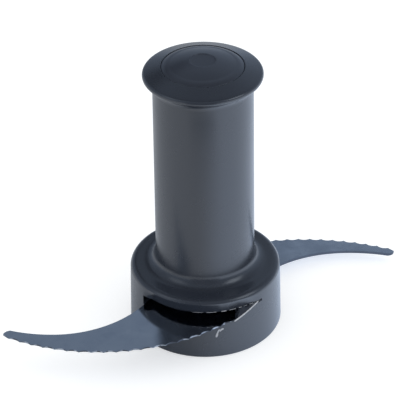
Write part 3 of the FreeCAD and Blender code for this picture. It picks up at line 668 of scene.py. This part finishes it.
def dimSheet(name, colour, falls, footShare=1.0):
    # glowing sheet with painted light, standing in for a room that lights it unevenly: its share of the full
    # colour is the product of its falls, and each grows from a first share to 1 between two reaches along
    # one direction, given by its turn from the front towards +X; beyond the part that the front view mirrors
    # it glows at a plain share, and its foot, up to about half a metre, is lighter by the foot share
    material = newMaterial(name)
    place = addNode(material, "ShaderNodeTexCoord").outputs["Object"]
    strength = 1.0
    for turn, firstShare, nearReach, farReach in falls:
        towards = (math.sin(math.radians(turn)), -math.cos(math.radians(turn)), 0.0)
        along = addNode(material, "ShaderNodeVectorMath", {0: place, 1: towards}, operation="DOT_PRODUCT")
        share = addNode(material, "ShaderNodeMapRange", {"Value": along.outputs["Value"],
                                                         "From Min": nearReach * 0.001,
                                                         "From Max": farReach * 0.001,
                                                         "To Min": firstShare, "To Max": 1.0})
        strength = addNode(material, "ShaderNodeMath", {0: share.outputs[0], 1: strength},
                           operation="MULTIPLY").outputs[0]
    flat = addNode(material, "ShaderNodeMapping", {"Vector": place,
                                                   "Location": (0.0, -studio["ovalBack"] * 0.001, 0.0),
                                                   "Scale": (studio["ovalNarrow"], 1.0, 0.0)})
    apart = addNode(material, "ShaderNodeVectorMath", {0: flat.outputs[0]}, operation="LENGTH")
    plain = addNode(material, "ShaderNodeMapRange", {"Value": apart.outputs["Value"],
                                                     "From Min": studio["plainFrom"] * 0.001,
                                                     "From Max": studio["plainTo"] * 0.001,
                                                     "To Max": studio["plainShare"]})
    strength = addNode(material, "ShaderNodeMath", {0: plain.outputs[0], 1: strength}, operation="MAXIMUM")
    height = addNode(material, "ShaderNodeSeparateXYZ", {0: place})
    low = addNode(material, "ShaderNodeMapRange", {"Value": height.outputs["Z"],
                                                   "From Min": studio["footFrom"] * 0.001,
                                                   "From Max": studio["footTo"] * 0.001,
                                                   "To Min": footShare, "To Max": 1.0})
    strength = addNode(material, "ShaderNodeMath", {0: strength.outputs[0], 1: low.outputs[0]},
                       operation="MULTIPLY")
    # painted light: the glow follows the falls, the plain share beyond the mirrored oval, and the foot
    glow = addNode(material, "ShaderNodeEmission", {"Color": toLinear(colour),
                                                    "Strength": strength.outputs[0]})
    addNode(material, "ShaderNodeOutputMaterial", {"Surface": glow.outputs[0]})
    return material


def roundWall(name, radius, height):
    # a drum of wall round the table: every column is a point of a circle, at the floor and at the ceiling
    turns = np.radians(np.arange(0, 360, studio["wallStep"]))
    ring = np.stack([radius * np.sin(turns), -radius * np.cos(turns)], axis=1) * 0.001
    count = len(turns)
    lower = np.column_stack([ring, np.zeros(count)])
    upper = np.column_stack([ring, np.full(count, height * 0.001)])
    index = np.arange(count)
    after = np.roll(index, -1)
    quads = np.stack([index, index + count, after + count, after], axis=1)
    mesh = bpy.data.meshes.new(name)
    mesh.from_pydata(np.concatenate([lower, upper]).tolist(), [], quads.tolist())
    wall = bpy.data.objects.new(name, mesh)
    bpy.context.scene.collection.objects.link(wall)
    return wall


half, wide, high = studio["floorSize"] / 2, studio["ceilingSize"] / 2, studio["ceilingHeight"]
low = studio["floorLevel"]
floor = stageSheet("tableTop", [(-half, -half, low), (half, -half, low), (half, half, low),
                                (-half, half, low)])
setMaterial(floor, tableCard("whiteCardPaintedGlow", studio["floorColour"]))
ceiling = stageSheet("ceilingSheet", [(-wide, -wide, high), (-wide, wide, high), (wide, wide, high),
                                      (wide, -wide, high)])
setMaterial(ceiling, dimSheet("ceilingPaintedLight", studio["ceilingColour"], studio["ceilingFalls"]))
wall = roundWall("roomWall", studio["wallRadius"], high)
setMaterial(wall, dimSheet("wallPaintedLight", studio["wallColour"], studio["wallFalls"], studio["wallFoot"]))
left, right = studio["flagLeft"], studio["flagRight"]
front, top = studio["flagFront"], studio["flagTop"]
# painted reflection: a dark glowing sheet in front that only gloss sees, so front faces mirror dark
flag = stageSheet("darkFlag", [(left, front, 0), (left, front, top), (right, front, top), (right, front, 0)])
setMaterial(flag, dimSheet("darkFlagPaintedReflection", studio["flagColour"], []))
flag.visible_camera = False  # gloss alone sees it, as it sees a camera that stands there
for sheet in (ceiling, wall, flag):
    sheet.visible_diffuse = False  # the room's even light passes them, so that colours render as written
    sheet.visible_shadow = False

world = bpy.data.worlds.new("studioWorld")
bpy.context.scene.world = world
world.use_nodes = True
world.node_tree.nodes.clear()
worldPath = addNode(world, "ShaderNodeLightPath")
worldSeen = addNode(world, "ShaderNodeMath", {0: worldPath.outputs["Is Camera Ray"],
                                              1: worldPath.outputs["Is Glossy Ray"]}, operation="MAXIMUM")
worldSeen = addNode(world, "ShaderNodeMath", {0: worldSeen.outputs[0],
                                              1: worldPath.outputs["Is Transmission Ray"]},
                    operation="MAXIMUM")
worldShare = addNode(world, "ShaderNodeMapRange", {"Value": worldSeen.outputs[0],
                                                   "To Min": studio["daylight"], "To Max": 1.0})
worldGlow = addNode(world, "ShaderNodeBackground", {"Color": (1, 1, 1, 1), "Strength": worldShare.outputs[0]})
addNode(world, "ShaderNodeOutputWorld", {"Surface": worldGlow.outputs[0]})

# soft boxes: name, turn from the front towards +X, elevation, distance, width, height, power in watts
softBoxes = [
    ("softBoxLeft", -66, 36, 900, 420, 420, 0.28),
    ("softBoxRight", 66, 36, 900, 420, 420, 0.8),
]
for name, turn, elevation, distance, width, height, power in softBoxes:
    lamp = bpy.data.lights.new(name, "AREA")
    lamp.shape = "RECTANGLE"
    lamp.size, lamp.size_y = width * 0.001, height * 0.001
    lamp.energy = power
    lamp.color = studio["lampColour"]  # daylight tubes, a little cool
    light = bpy.data.objects.new(name, lamp)
    bpy.context.scene.collection.objects.link(light)
    a, e = math.radians(turn), math.radians(elevation)
    towards = Vector((math.sin(a) * math.cos(e), -math.cos(a) * math.cos(e), math.sin(e)))
    light.location = Vector((0, 0, 0.05)) + towards * distance * 0.001
    light.rotation_euler = towards.to_track_quat("Z", "Y").to_euler()
print("stage and lights set")

view = {"distance": 851.95, "elevation": 33.736, "aimHeight": 56.52, "lens": 188.42, "roll": -0.748,
        "shiftX": -0.0111}
cameraData = bpy.data.cameras.new("viewCamera")
cameraData.sensor_fit = "HORIZONTAL"
cameraData.sensor_width = 36.0
cameraData.lens = view["lens"]
cameraData.shift_x = view["shiftX"]
cameraData.clip_end = 50.0
camera = bpy.data.objects.new("viewCamera", cameraData)
bpy.context.scene.collection.objects.link(camera)
lift = math.radians(view["elevation"])
camera.location = Vector((0, -math.cos(lift), math.sin(lift))) * view["distance"] * 0.001
camera.location.z += view["aimHeight"] * 0.001
camera.rotation_euler = (Matrix.Rotation(math.pi / 2 - lift, 3, "X")
                         @ Matrix.Rotation(math.radians(view["roll"]), 3, "Z")).to_euler()
bpy.context.scene.camera = camera
bpy.context.scene.view_settings.view_transform = "Standard"
